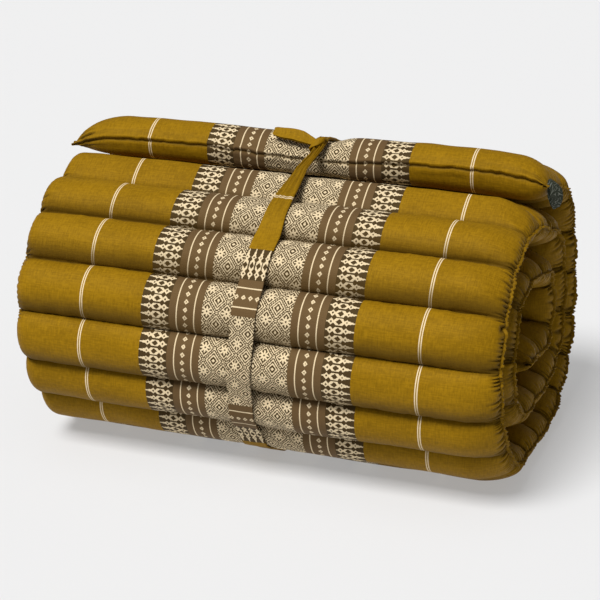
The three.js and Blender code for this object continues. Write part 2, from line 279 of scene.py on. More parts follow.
def room_beside(rows, line, side):
    """Half the way to the nearest point of another turn on that side, less half the gap,
    never more than the full padding, and evened out from row to row."""
    thin = slice(None, None, 6)
    away_y = line["y"][thin][None] - rows["y"][:, None]
    away_z = line["z"][thin][None] - rows["z"][:, None]
    far = np.abs(line["distance"][thin][None] - rows["distance"][:, None]) > 3 * CHANNEL_PITCH
    facing = (away_y * rows["ny"][:, None] + away_z * rows["nz"][:, None]) * side > 0
    gap = np.where(far & facing, np.hypot(away_y, away_z), np.inf).min(axis=1)
    full = np.where(rows["channel"] == 0, OUTER_END_SQUASH, 1) * HALF_THICKNESS
    room = np.clip(np.minimum((gap - TURN_GAP) / 2, full), MIN_HALF_THICKNESS, None)
    window = np.hanning(9) / np.hanning(9).sum()
    return np.convolve(np.pad(room, 4, mode="edge"), window, mode="valid")


def crown(rows, room, relief=1):
    """Height of the cloth over the middle line: from stitch line to stitch line a fuller
    arc than a circle's, times the relief, and down to nothing at the seams of both ends."""
    arc = (1 - np.abs(2 * rows["across"] - 1) ** CROWN_POWER) ** (1 / CROWN_POWER)
    outer_end = (rows["channel"] == 0) & (rows["across"] < 0.5)
    inner_end = (rows["channel"] == CHANNEL_COUNT - 1) & (rows["across"] > 0.5)
    stitch = np.where(outer_end | inner_end, 0, np.minimum(STITCH_HALF_THICKNESS, room))
    return stitch + (room - stitch) * arc * relief


def face_columns():
    """Places along the roll on one face: the share of the rounded end (-1 to 1, 0 on the
    straight) with its angle, and the share of the straight between."""
    angle = np.linspace(0, np.pi / 2, END_COLUMNS + 1)[1:]
    half = MAT_WIDTH / 2 - END_ROUNDING
    edge = np.arange(half - EDGE_ZONE, half, EDGE_STEP)
    middle = np.arange(0, half - EDGE_ZONE, MIDDLE_STEP)
    right = np.concatenate([middle, edge, [half]]) / half
    straight = np.concatenate([-right[:0:-1], right])
    return straight, angle


def rounded_end(reach, loose_reach, loose, power, angle):
    """One rounded end of the mat: the distance of its columns from the middle and their
    share of the full height, a superellipse, and where the straight part ends."""
    reach = reach + (loose_reach - reach) * loose
    half = MAT_WIDTH / 2 - reach
    x = half + reach * np.sin(angle)[None] ** (2 / power)
    share = np.maximum(np.cos(angle)[None], 0) ** (2 / power)
    share[:, -1] = 0
    return x, share, half


def mat_grid(rows):
    """Both faces of the mat as one grid: each row is a closed ring that runs over the outer
    face from the -X seam to the +X seam and back over the inner face. A point stands off
    the middle line by the crown times the end profile, a superellipse over the last
    stretch of the width."""
    straight, angle = face_columns()
    loose = np.where(rows["channel"] == 0, 1 - ease(rows["across"], 0.7, 1), 0)[:, None]
    power = END_POWER + (LOOSE_END_POWER - END_POWER) * loose
    left, left_share, left_half = rounded_end(
        LEFT_END_ROUNDING, LOOSE_END_ROUNDING, loose, power, angle)
    right, right_share, right_half = rounded_end(
        END_ROUNDING, LOOSE_RIGHT_ROUNDING, loose, power, angle)
    half = np.where(straight[None] < 0, left_half, right_half)
    x = np.hstack([-left[:, ::-1], half * straight[None], right])
    level = np.ones((len(loose), len(straight)))
    share = np.hstack([left_share[:, ::-1], level, right_share])
    column = {key: rows[key][:, None] for key in ("channel", "across", "outer", "inner")}
    kept = np.where(x > 0, END_RELIEF, LEFT_END_RELIEF)
    relief = 1 - (1 - kept) * ease(np.abs(x), *END_RELIEF_REACH) * (1 - loose)
    lower = 1 - (1 - LOOSE_LOWER_FACE) * loose * (1 - 0.7 * ease(x, 0, 150))
    outer = crown(column, column["outer"], relief) * share
    inner = -crown(column, column["inner"], relief) * share * lower
    ring_x = np.hstack([x, x[:, -2:0:-1]])
    ring_h = np.hstack([outer, inner[:, -2:0:-1]])
    return ring_x, ring_h, x.shape[1]


def bend_to_roll(rows, ring_x, ring_h):
    """Grid points in space: off the middle line along its normal, with the ends of the
    loose channel drooping and its seam sagging, the edge drawn in on the other channels
    and at each stitch line, and the top of the roll leaning towards -X."""
    share = np.abs(ring_x) / (MAT_WIDTH / 2)
    loose = (rows["channel"] == 0) * (1 - rows["across"])
    droop = np.where(ring_x < 0, LEFT_CORNER_DROOP, CORNER_DROOP) * share ** 8 * loose[:, None]
    droop = droop - (LOOSE_LIFT + LOOSE_RIGHT_LIFT * ease(ring_x, 40, 160)) * loose[:, None]
    reach = CORNER_REACH * share ** 10 * loose[:, None] * (ring_x < 0)
    y = rows["y"][:, None] + rows["ny"][:, None] * ring_h
    z = rows["z"][:, None] + rows["nz"][:, None] * ring_h - droop
    sag = (SEAM_SAG + SEAM_SAG_MIDDLE * np.exp(-(ring_x / 80) ** 2)) * (1 - share ** 6)
    z = z - sag * np.exp(-(rows["distance"] / SEAM_SAG_REACH) ** 2)[:, None]
    tuck = EDGE_TUCK * ease(rows["channel"] + rows["across"], 0.6, 1.1)
    scallop = EDGE_SCALLOP * (2 * rows["across"] - 1) ** 2
    drawn_in = (tuck + scallop)[:, None] * share ** 12
    lean = END_LEAN * ((z - ROLL_CENTRE_Z) / ROLL_CENTRE_Z) * share ** 3
    return np.stack([ring_x - np.sign(ring_x) * drawn_in - lean - reach, y, z], axis=2)


def cloth_lengths(points, face):
    """Distance along the cloth of every grid point: down each face at its middle column,
    and across each row, measured from the middle of the width."""
    rows, ring = points.shape[:2]
    middle = face // 2
    opposite = ring - middle
    along = np.zeros((rows, ring))
    for column, used in ((middle, slice(0, face)), (opposite, slice(face, ring))):
        steps = np.linalg.norm(np.diff(points[:, column], axis=0), axis=1)
        along[:, used] = np.concatenate([[0], np.cumsum(steps)])[:, None]
    steps = np.linalg.norm(np.diff(points[:, :face], axis=1), axis=2)
    outer = np.hstack([np.zeros((rows, 1)), np.cumsum(steps, axis=1)])
    outer -= outer[:, middle:middle + 1]
    back = np.concatenate([points[:, face - 1:], points[:, :1]], axis=1)
    steps = np.linalg.norm(np.diff(back, axis=1), axis=2)
    inner = -np.hstack([np.zeros((rows, 1)), np.cumsum(steps, axis=1)])
    inner -= inner[:, opposite - face + 1:opposite - face + 2]
    across = np.hstack([outer, inner[:, 1:-1]])
    return across, along


def grid_normals(points):
    """Outward unit normals of a closed-ring grid, from its neighbours."""
    wrapped = np.concatenate([points[:, -1:], points, points[:, :1]], axis=1)
    around = wrapped[:, 2:] - wrapped[:, :-2]
    along = np.gradient(points, axis=0)
    normal = np.cross(around, along)
    length = np.linalg.norm(normal, axis=2, keepdims=True)
    return normal / np.maximum(length, 1e-6)


def pleats(rows, across, along, face):
    """Depth of the pleats at the side seams: valleys that run in from the seam, uneven in
    spacing, length and depth, and deeper beside each stitch line."""
    ring = along.shape[1]
    edge = np.maximum(across[:, face - 1:face], 1)
    from_seam = np.clip(edge - np.abs(across), 0, None)
    side = np.where(across > 0, 0, 40)
    layer = np.where(np.arange(ring) < face, 0, 90)[None]
    seed_row = side + layer
    drift = 0.30 * from_seam * noise(along / 17, seed_row + 3.5, 11)
    place = (along + drift) / PLEAT_SPACING + 1.3 * noise(along / 17, seed_row + 9.5, 12)
    valley = (0.5 + 0.5 * np.cos(2 * np.pi * place)) ** 2.4
    which = np.round(place)
    length = PLEAT_LENGTH + 13 * noise(which * 1.37 + 0.5, seed_row + 0.5, 13)
    depth = 1.2 + 1.15 * noise(which * 2.11 + 0.5, seed_row + 0.5, 14)
    stitch = np.abs(2 * rows["across"][:, None] - 1)
    depth = depth * (0.8 + 0.8 * stitch ** 3)
    fade = (1 - ease(from_seam, 0.1 * length, length)) * ease(from_seam, -2.5, 2.5)
    return PLEAT_DEPTH * depth * valley * fade


def end_seam_crease(rows, across, along, face):
    """How far the cloth is drawn in at both end seams: a narrow crease, uneven along the
    seam and deeper towards the corners, with a ruffled lip over it on the outer face and
    the inner face set back under it. Also the painted shade in the crease, darker on the
    inner face. All of it goes by the distance from the seam along the cloth."""
    from_seam = np.minimum(along, along[-1] - along)
    uneven = 1 + 0.35 * noise_along(across, 5.5, 61)
    corner = 1 + 0.5 * ease(np.abs(across), 150, 250)
    under = (np.arange(across.shape[1]) >= face)[None]
    gathers = noise_along(across, 3.6, 62)
    crease = SEAM_DEPTH * uneven * corner * np.exp(-from_seam / 1.5)
    set_back = SEAM_SET_BACK * np.exp(-((from_seam - 7) / 9) ** 2) * under
    lip = (0.9 + 1.0 * gathers) * np.exp(-((from_seam - 3.4) / 2) ** 2) * ~under
    soft = 0.7 * gathers * np.exp(-from_seam / 10) * corner
    # Painted shade along the seam's crease, stronger on the inner face.
    dark = 1.1 * np.exp(-(from_seam / 1.7) ** 2) * np.where(under, 1, 0.6)
    side = np.where(rows["distance"] < rows["distance"][-1] / 2, 1, -1)[:, None]
    return side * (crease + set_back + soft - lip), dark


def soft_wrinkles(rows, across, along, face):
    """Rise and fall of the cloth: broad swells of the padding, puckers that stand across
    each stitch line and die away from it, and faint slanting folds."""
    ring = along.shape[1]
    layer = np.where(np.arange(ring) < face, 0, 60)[None]
    swell = 0.9 * noise(across / 70 + 20, along / 60 + layer, 21)
    swell += 0.45 * noise(across / 31 + 40, along / 24 + layer, 22)
    stitch = np.abs(2 * rows["across"][:, None] - 1)
    beside = ease(stitch, 0.35, 0.97)
    channel = np.round(rows["channel"] + rows["across"])[:, None]
    pucker = noise(across / 6.5 + 30, channel * 1.7 + 0.5 + layer, 23)
    pucker += 0.6 * noise(across / 3.4 + 60, channel * 2.3 + 0.5 + layer, 24)
    slant = noise((across + 0.9 * along) / 22 + 80, along / 48 + layer, 25)
    return swell + 0.55 * pucker * beside + 0.35 * slant


def strap_middle(hour):
    """How far along the roll the middle of the strap lies at an hour of the clock."""
    return np.interp(hour, STRAP_HOURS, STRAP_X)


def hour_of(y, z):
    """Hour of the clock face at which a point lies, seen from the +X end."""
    angle = np.arctan2(y - ROLL_CENTRE_Y, z - ROLL_CENTRE_Z)
    return (angle / (2 * np.pi) * HOURS) % HOURS


def strap_bite(rows):
    """How far the knotted strap sinks into the top of the roll at each row."""
    place = rows["channel"] + rows["across"]
    return STRAP_BITE * ease(place, 0.05, 0.45) * (1 - ease(place, 1.4, 2.4))


def under_strap(rows, points, face):
    """1 where the strap presses on the outer turn, 0 away from it."""
    middle = strap_middle(hour_of(points[:, :, 1], points[:, :, 2]))
    beside = 1 - ease(np.abs(points[:, :, 0] - middle), STRAP_WIDTH / 2, STRAP_WIDTH / 2 + 9)
    covered = rows["channel"] + rows["across"] <= COVERED_CHANNEL + 1.2
    outside = np.arange(points.shape[1]) < face
    return beside * covered[:, None] * outside[None]


def make_piece(name, points, faces, cloth, turn_outwards=False):
    """A smooth mesh object at the origin, from points in millimetres, faces of any number
    of corners and, for each point, its place on the flat cloth in millimetres and its
    painted shade. Where asked, its faces are turned outwards first."""
    mesh = bpy.data.meshes.new(name)
    mesh.from_pydata((points.reshape(-1, 3) * MM).tolist(), [], faces)
    layer = mesh.attributes.new("cloth", "FLOAT_VECTOR", "POINT")
    layer.data.foreach_set("vector", cloth.reshape(-1, 3).astype(np.float32).ravel())
    mesh.validate()
    if turn_outwards:
        shell = bmesh.new()
        shell.from_mesh(mesh)
        bmesh.ops.recalc_face_normals(shell, faces=shell.faces)
        shell.to_mesh(mesh)
        shell.free()
    mesh.shade_smooth()
    piece = bpy.data.objects.new(name, mesh)
    bpy.context.scene.collection.objects.link(piece)
    return piece


def point_numbers(grid):
    """The number of each point of a grid, row by row."""
    count, ring = grid.shape[:2]
    return np.arange(count * ring).reshape(count, ring)


def ring_quads(index, flip=False):
    """Faces of a grid of point numbers whose rows are closed rings."""
    turned = np.roll(index, -1, axis=1)
    corners = [index[:-1], turned[:-1], turned[1:], index[1:]]
    if flip:
        corners = corners[::-1]
    return np.stack(corners, axis=-1).reshape(-1, 4)


def tube_faces(index, flip=False):
    """Faces of a tube of closed rings, with one face over each of its ends."""
    ends = [index[0][::-1], index[-1]] if flip else [index[0], index[-1][::-1]]
    return ring_quads(index, flip).tolist() + [end.tolist() for end in ends]


def from_side_seam(across, face):
    """Distance along the cloth from the nearer side seam."""
    return np.abs(np.abs(across) - np.abs(across[:, face - 1:face]))


def seam_sway(rows, across, along, face):
    """How far the side seams and the outer end's seam wander up and down."""
    wander = 0.9 * noise_along(along, 4.2, 31) + 0.7 * noise_along(along, 9, 32)
    at_side = np.exp(-(from_side_seam(across, face) / 3) ** 2)
    sway = 0.9 * noise_along(across, 5, 33) + 0.8 * noise_along(across, 14, 34)
    at_end = np.exp(-rows["distance"] / 2.5)[:, None]
    return wander * at_side + sway * at_end


def cloth_shade(rows, across, face, folds, seam_shade, end_fade):
    """Painted shade at each place of the cloth, up to 1: in the pleats, at the end seams
    and in the grooves, beside the side seams, and on the lower side of a channel where
    the roll stands upright."""
    stitch = np.abs(2 * rows["across"][:, None] - 1)
    near_end = ease(np.abs(across), 205, 245)
    # Painted shade in the grooves at the stitch lines, more near the ends.
    groove = (GROOVE_SHADE + GROOVE_SHADE_AT_ENDS * near_end) * ease(stitch, 0.82, 1.0)
    # Painted shade on the lower side of each channel where the roll stands upright, a little less
    # in the woven bands.
    upright = np.clip(-1.25 * rows["ny"], -1, 1)[:, None]
    lower_side = ease((1 - 2 * rows["across"][:, None]) * upright, 0.1, 0.85)
    plain_part = 0.72 + 0.28 * ease(np.abs(across), 95, 115)
    outside = (np.arange(across.shape[1]) < face)[None]
    groove = groove + UNDERSIDE_SHADE * lower_side * plain_part * outside
    # Painted shade: a dark line on the cloth beside each side seam.
    beside = 0.8 * np.exp(-(from_side_seam(across, face) / 1.8) ** 2)
    return np.clip(folds / 1.9 + seam_shade + groove * end_fade[:, None] + beside, 0, 1)


def make_mat(rows):
    """The mat: the ring grid bent to the roll, then moved along its normals by wrinkles,
    pleats and the strap's dent and waist. Both faces share their points along the end
    seams. Also its grid, and how many columns of it are the outer face."""
    ring_x, ring_h, face = mat_grid(rows)
    points = bend_to_roll(rows, ring_x, ring_h)
    across, along = cloth_lengths(points, face)
    normals = grid_normals(points)
    pressed = under_strap(rows, points, face)
    folds = pleats(rows, across, along, face)
    lifted = soft_wrinkles(rows, across, along, face) * (1 - pressed)
    lifted = np.minimum(lifted, 0.8) - folds - 1.2 * pressed
    outside = (np.arange(points.shape[1]) < face)[None]
    waist = np.exp(-((points[:, :, 0] - STRAP_X[0]) / STRAP_BITE_REACH) ** 2)
    lifted -= strap_bite(rows)[:, None] * waist * outside
    end_fade = ease(np.minimum(rows["distance"], rows["distance"][-1] - rows["distance"]), 0, 3)
    points = points + normals * (lifted * end_fade[:, None])[:, :, None]
    rise = seam_sway(rows, across, along, face)
    crease, seam_shade = end_seam_crease(rows, across, along, face)
    points[:, :, 1] += rows["ny"][:, None] * rise + rows["nz"][:, None] * crease
    points[:, :, 2] += rows["nz"][:, None] * rise - rows["ny"][:, None] * crease
    points[:, :, 2] = np.maximum(points[:, :, 2], 0)
    index = point_numbers(points)
    for row in (0, -1):
        index[row, face:] = index[row, face - 2:0:-1]
    used, quads = np.unique(ring_quads(index), return_inverse=True)
    faces = quads.reshape(-1, 4).tolist()
    # Painted shade for each point, carried as the cloth attribute's third number.
    shade = cloth_shade(rows, across, face, folds, seam_shade, end_fade)
    place = rows["channel"] + rows["across"]
    shifted = across - np.interp(place, SHIFTED_CHANNELS, PATTERN_SHIFT)[:, None]
    shifted[:, face - 1:] = across[:, face - 1:]
    cloth = np.stack([shifted, along, shade], axis=2)
    mat = make_piece("mat_cover", points.reshape(-1, 3)[used], faces, cloth.reshape(-1, 3)[used])
    return mat, points, face


def make_seam_lip(rows, points, face, column, name, sign):
    """The folded edge that stands out of a side seam: a thin rounded strip along the seam,
    ruffled up and down."""
    seam = points[:, column]
    run = np.linalg.norm(np.diff(seam, axis=0), axis=1)
    along = np.concatenate([[0], np.cumsum(run)])
    stand = 2.6 + 1.3 * noise_along(along, 3.1, 41 + column)
    ruffle = 1.7 * noise_along(along, 3.2, 42 + column)
    plump = 1.25 + 0.55 * noise_along(along, 2.3, 43 + column)
    section = np.array([[-1.5, 0.75], [0.2, 0.8], [0.85, 0.6], [1, 0],
                        [0.85, -0.6], [0.2, -0.8], [-1.5, -0.75]])
    out = section[:, 0][None] * stand[:, None]
    up = section[:, 1][None] * plump[:, None] + ruffle[:, None] * np.clip(section[:, 0], 0, 1)[None]
    x = seam[:, None, 0] + sign * out
    y = seam[:, None, 1] + rows["ny"][:, None] * up
    z = seam[:, None, 2] + rows["nz"][:, None] * up
    grid = np.stack([x, y, np.maximum(z, 0)], axis=2)
    # Painted shade: the lip darker where it is thin and on its flanks, lighter along its outer
    # edge.
    shade = np.clip(0.9 - 0.55 * plump[:, None] + 0.35 * np.abs(section[:, 1])[None], 0, 1)
    cloth = np.stack([0 * x + sign * MAT_WIDTH / 2, along[:, None] + 0 * x, shade], axis=2)
    return make_piece(name, grid, tube_faces(point_numbers(grid), flip=sign > 0), cloth)


def strap_course(rows):
    """Closed course of the strap's middle in y and z: the taut outline of the outer turn,
    which for each direction is the point that lies furthest that way, evenly spaced, sunk
    a little where it spans a groove, and rounded off."""
    place = rows["channel"] + rows["across"]
    used = place <= COVERED_CHANNEL + 0.6
    lift = crown(rows, rows["outer"]) + STRAP_LIFT - strap_bite(rows)
    y = np.append((rows["y"] + rows["ny"] * lift)[used], STRAP_NOSE[0])
    z = np.append((rows["z"] + rows["nz"] * lift)[used], STRAP_NOSE[1])
    z = np.maximum(z, STRAP_THICKNESS / 2 + 0.3)
    turn = np.arange(0, 2 * np.pi, np.pi / 1800)
    furthest = np.argmax(np.outer(np.sin(turn), y) + np.outer(np.cos(turn), z), axis=1)
    corners = furthest[np.append(True, np.diff(furthest) != 0)]
    corner_y = np.append(y[corners], y[corners[0]])
    corner_z = np.append(z[corners], z[corners[0]])
    distance = np.concatenate([[0], np.cumsum(np.hypot(np.diff(corner_y), np.diff(corner_z)))])
    count = int(distance[-1] / STRAP_STEP)
    even = np.arange(count) * distance[-1] / count
    taut_y = np.interp(even, distance, corner_y)
    taut_z = np.interp(even, distance, corner_z)
    gap = np.hypot(taut_y[:, None] - y[None], taut_z[:, None] - z[None]).min(axis=1)
    out_y, out_z = outward(taut_y, taut_z)
    sunk = STRAP_DIP * (1 - np.exp(-gap / 5))
    window = np.exp(-0.5 * (np.arange(-8, 9) * STRAP_STEP / 3.2) ** 2)
    window /= window.sum()
    rounded = []
    for values in (taut_y - out_y * sunk, taut_z - out_z * sunk):
        padded = np.concatenate([values[-8:], values, values[:8]])
        rounded.append(np.convolve(padded, window, mode="valid"))
    return rounded[0], np.maximum(rounded[1], STRAP_THICKNESS / 2 + 0.2), distance[-1]


def outward(y, z):
    """Outward normals of a closed course, in y and z: its direction turned a quarter."""
    along_y = np.roll(y, -1) - np.roll(y, 1)
    along_z = np.roll(z, -1) - np.roll(z, 1)
    length = np.hypot(along_y, along_z)
    return -along_z / length, along_y / length


def make_strap(rows):
    """The strap: a flat, round-edged ribbon carried round its course, drawn together in
    lengthwise folds towards the knot."""
    y, z, total = strap_course(rows)
    out_y, out_z = outward(y, z)
    hour = hour_of(y, z)
    middle = strap_middle(hour)
    width = np.interp(hour, STRAP_WIDE_HOURS, STRAP_WIDE)
    drawn = (STRAP_WIDTH - width) / STRAP_WIDTH
    sides = 22
    turn = np.linspace(-1, 1, sides)
    top = np.stack([turn, np.full(sides, 0.5)], axis=1)
    bottom = np.stack([turn[::-1], np.full(sides, -0.5)], axis=1)
    section = np.concatenate([top, bottom])
    section[[0, sides - 1, sides, -1], 0] *= 0.985
    side = section[:, 0][None]
    x = middle[:, None] + side * width[:, None] / 2
    uneven = noise(side * 2.3 + 0 * x, np.arange(len(y))[:, None] / 34 + 0 * x, 52)
    fold = np.cos((side + 0.25 * uneven) * np.pi * 3.2)
    fold = fold + 0.5 * np.cos((side - 0.2 * uneven) * np.pi * 7)
    lift = section[:, 1][None] * STRAP_THICKNESS + 1.7 * drawn[:, None] * (fold + 1.1)
    lift += 0.35 * noise(side * 1.5 + 5, np.arange(len(y))[:, None] / 12 + 0 * x, 53)
    edge_wave = 0.4 * noise(np.arange(len(y))[:, None] / 9 + side, 0.5 + 0 * lift, 51)
    grid_y = y[:, None] + out_y[:, None] * lift
    grid_z = np.maximum(z[:, None] + out_z[:, None] * lift, 0.1)
    grid = np.stack([x + edge_wave, grid_y, grid_z], axis=2)
    count = len(grid)
    index = point_numbers(grid)
    closed = np.vstack([index, index[:1]])
    step = total / count
    start = np.argmin(np.where(hour > 6, np.abs(hour - LATTICE_TOP_HOUR), 99))
    run = LATTICE_EDGE + (np.arange(count) - start) * step / STRAP_PATTERN_SPREAD
    # Painted shade in the valleys of the folds where the strap is drawn together.
    shade = np.clip(drawn[:, None] * (0.7 - 0.7 * fold), 0, 1)
    wide = side * STRAP_WIDTH / 2 * STRAP_PATTERN_NARROWING + CHAIN_REPEAT / 2
    cloth = np.stack([run[:, None] + 0 * x, wide + 0 * x, shade], axis=2)
    return make_piece("strap", grid, ring_quads(closed, flip=True).tolist(), cloth), total


def unit(vector):
    """A vector or a row of vectors brought to length one."""
    vector = np.asarray(vector, float)
    return vector / np.linalg.norm(vector, axis=-1, keepdims=True)


def plain_cloth(grid, shade=0):
    """Places on the plain olive field of the cloth for a grid of points: the grid's own
    running lengths, kept clear of the woven bands and the pinstripe, and the painted shade given."""
    down = np.linalg.norm(np.diff(grid, axis=0, prepend=grid[:1]), axis=2).cumsum(axis=0)
    over = np.linalg.norm(np.diff(grid, axis=1, prepend=grid[:, :1]), axis=2).cumsum(axis=1)
    return np.stack([260 + over, down, shade + 0 * over], axis=2)


def ribbon(name, path, widthways, widths, thickness, bulge=0.0):
    """A closed ribbon of rounded section: at each point of the path the section's width
    runs along widthways and its thickness across both, with the edges curled by bulge."""
    along = unit(np.gradient(path, axis=0))
    widthways = unit(widthways - along * np.sum(widthways * along, axis=1, keepdims=True))
    out = np.cross(along, widthways)
    angle = np.linspace(0, 2 * np.pi, 24, endpoint=False)
    over = np.sign(np.cos(angle)) * np.abs(np.cos(angle)) ** 0.6
    up = np.sin(angle) * thickness / 2
    rise = up[None] + bulge * (1 - over[None] ** 2) * (widths[:, None] / widths.max())
    grid = path[:, None] + widthways[:, None] * (over[None] * widths[:, None] / 2)[:, :, None]
    grid = grid + out[:, None] * rise[:, :, None]
    faces = tube_faces(point_numbers(grid))
    return make_piece(name, grid, faces, plain_cloth(grid), turn_outwards=True)


def smooth_path(points, count):
    """A Catmull-Rom curve through a few points, with so many steps in all."""
    points = np.asarray(points, float)
    places = np.linspace(0, len(points) - 1, count)
    return np.stack([smooth_row(column, places) for column in points.T], axis=1)


def make_knot():
    """The knot: a small bundle, a ball flattened on the mat and creased by slanting folds,
    r = 1 + folds that wind round it, set in the frame of the strap at its nose."""
    down = np.linspace(0, np.pi, 40)[:, None]
    turn = np.linspace(0, 2 * np.pi, 64, endpoint=False)[None]
    slant = 5 * (turn + 1.1 * np.cos(down))
    radius = 1 + 0.10 * np.cos(slant) * np.sin(down) + 0.05 * np.cos(2 * slant + 1)
    side = radius * np.sin(down) * np.cos(turn) * KNOT_SIZE[0]
    up = radius * np.cos(down) * KNOT_SIZE[1]
    out = radius * np.sin(down) * np.sin(turn) * KNOT_SIZE[2]
    out = np.maximum(out, -3)
    grid = np.array(KNOT_AT) + side[:, :, None] * KNOT_ACROSS + up[:, :, None] * KNOT_UP
    grid = grid + out[:, :, None] * KNOT_OUT
    # Painted shade in the hollows between the slanting folds.
    shade = np.clip(-0.6 * np.cos(slant) * np.sin(down), 0, 1)
    faces = ring_quads(point_numbers(grid)).tolist()
    return make_piece("knot", grid, faces, plain_cloth(grid, shade), turn_outwards=True)


def make_wrap():
    """The band that holds the knot: a closed loop of cloth slanting round its middle."""
    turn = np.linspace(0, 2 * np.pi, 73)
    path = np.array(KNOT_AT) + np.outer(np.cos(turn) * (KNOT_SIZE[0] + 0.2), KNOT_ACROSS)
    path = path + np.outer(np.sin(turn) * (KNOT_SIZE[2] + 0.2) + 0.2, KNOT_OUT)
    path = path + np.outer(-1.5 + 3.2 * np.cos(turn), KNOT_UP)
    widthways = np.broadcast_to(KNOT_UP, path.shape)
    widths = WRAP_WIDE + 1.0 * np.cos(3 * turn + 1)
    return ribbon("knot_wrap", path, widthways, widths, 1.8, bulge=0.0)


def make_ear():
    """The bow ear: the strap laid out along the top of the loose channel to a blunt tip
    and folded back over itself to the knot, widest in its middle."""
    middle = smooth_path(EAR_MIDDLE, 60)
    share = np.linspace(0, 1, 60)
    parted = EAR_LAYER_GAP * np.sin(share * np.pi * 0.93)[:, None] * EAR_OUT
    path = np.vstack([middle - parted, (middle + parted)[::-1]])
    share = np.concatenate([share, share[::-1]])
    widths = np.interp(share, EAR_WIDE_PLACES, EAR_WIDE)
    slope = np.broadcast_to(EAR_SLOPE, path.shape)
    piece = ribbon("bow_ear", path, slope, widths, 1.3, bulge=-0.9)
    return piece, np.linalg.norm(np.diff(path, axis=0), axis=1).sum()


def make_label():
    """The label: a folded tape that hangs from the side seam like a leaf, pointed at the
    top, its two layers bowed apart."""
    down = np.linspace(0, 1, 16)
    start = np.array(LABEL_AT)
    layers = []
    for swell, order in ((0.0, 1), (1.0, -1)):
        x = start[0] + 2.5 + (1.0 + 2.6 * swell) * np.sin(down * np.pi) + 7.0 * down
        y = start[1] + 7.0 * down ** 1.3
        z = start[2] - LABEL_DROP * down
        layers.append(np.stack([x, y, z], axis=1)[::order])
    path = smooth_path(np.vstack([layers[0], layers[1]]), 110)
    share = (start[2] - path[:, 2]) / LABEL_DROP
    widthways = np.broadcast_to(np.array(LABEL_OVER), path.shape)
    widths = np.interp(share, LABEL_WIDE_PLACES, LABEL_WIDE)
    piece = ribbon("hem_label", path, widthways, widths, 0.7, bulge=0.0)
    return piece, np.linalg.norm(np.diff(path, axis=0), axis=1).sum()


class Signal:
    """A number that a material works out at each point, written as plain sums."""

    def __init__(self, tree, socket):
        self.tree = tree
        self.socket = socket

    def join(self, operation, *others):
        node = self.tree.nodes.new("ShaderNodeMath")
        node.operation = operation
        self.tree.links.new(self.socket, node.inputs[0])
        for place, other in enumerate(others, start=1):
            if isinstance(other, Signal):
                self.tree.links.new(other.socket, node.inputs[place])
            else:
                node.inputs[place].default_value = other
        return Signal(self.tree, node.outputs[0])

    def __add__(self, other):
        return self.join("ADD", other)

    def __sub__(self, other):
        return self.join("SUBTRACT", other)

    def __mul__(self, other):
        return self.join("MULTIPLY", other)

    def __truediv__(self, other):
        return self.join("DIVIDE", other)

    def __lt__(self, other):
        return self.join("LESS_THAN", other)

    def __gt__(self, other):
        return self.join("GREATER_THAN", other)

    def __abs__(self):
        return self.join("ABSOLUTE")

    def both(self, other):
        return self.join("MULTIPLY", other)

    def either(self, other):
        return self.join("MAXIMUM", other)

    def smaller(self, other):
        return self.join("MINIMUM", other)

    def without(self, other):
        return self.join("SUBTRACT", other).join("MAXIMUM", 0.0)

    def between(self, low, high):
        return (self > low).both(self < high)

    def clamped(self):
        return self.join("MAXIMUM", 0.0).join("MINIMUM", 1.0)

    def stepped(self, size):
        return (self / size).join("FLOOR") * size + size / 2

    def from_nearest(self, pitch):
        """Signed distance to the nearest multiple of the pitch."""
        return self - (self / pitch).join("ROUND") * pitch


def lattice(across, along):
    """Cream parts of the middle field: lozenges between crossing double lines, in turn an
    eight-petalled rosette and a ring with a dot."""
    p = across / FLOWER_ACROSS
    q = along / FLOWER_ALONG
    a = p + q
    b = p - q
    near_a = a.join("ROUND")
    near_b = b.join("ROUND")
    in_a = a - near_a
    in_b = b - near_b
    ring = abs(in_a).either(abs(in_b))
    low = abs(in_a).smaller(abs(in_b))
    line = ring.between(0.330, 0.402)
    dots = (ring > 0.462).both(abs(low.from_nearest(1 / 7)) < 0.043)
    off_x = (in_a + in_b) * (FLOWER_ACROSS / 2)
    off_y = (in_a - in_b) * (FLOWER_ALONG / 2)
    radius = (off_x * off_x + off_y * off_y).join("SQRT")
    angle = off_y.join("ARCTAN2", off_x)
    petals = (angle * 8.0).join("COSINE") * 1.5 + 4.1
    rosette = (radius < petals).without(radius < 0.9)
    box = ring.between(0.185, 0.262).either(ring < 0.085)
    odd = abs((near_a + near_b).from_nearest(2.0))
    chosen = box * odd + rosette * (odd * -1.0 + 1.0)
    return line.either(dots).either(chosen)


def chain_border(across, along):
    """Cream parts of the border: in each repeat a small diamond, a long six-sided ring and
    another small diamond on one stem, which ends in a spike at the plain field."""
    from_edge = across - BORDER_START
    main = abs(along.from_nearest(CHAIN_REPEAT))
    stem = (main < 0.65).both(from_edge.between(1.0, 28.4))
    spike = (from_edge * -0.17 + main * -1.0 + 5.35 > 0.0).both(from_edge.between(22.0, 28.9))
    small = abs(from_edge - 5.2) / 3.7 + main / 3.3
    outer = abs(from_edge - 20.8) / 3.2 + main / 3.0
    ring = ((abs(from_edge - 13.2) + main * 0.9) / 6.2).either(main / 3.2)
    slot = ((abs(from_edge - 13.2) + main * 1.2) / 3.4)
    dots = (small < 0.34).either(outer < 0.34)
    solid = (small < 1.0).either(outer < 1.0).either(ring < 1.0).either(stem).either(spike)
    return solid.without(dots).without(slot < 1.0)


def plain_band(across, along):
    """Cream parts of the brown band: two lines with a chain of small diamonds between."""
    lines = (abs(across - INNER_LINE) < 0.6).either(abs(across - OUTER_LINE) < 0.6)
    off = abs(across - DIAMOND_CHAIN) / 2.5
    chain = off + abs(along.from_nearest(CHAIN_REPEAT)) / 2.7
    return lines.either((chain < 1.0).without(chain < 0.30))


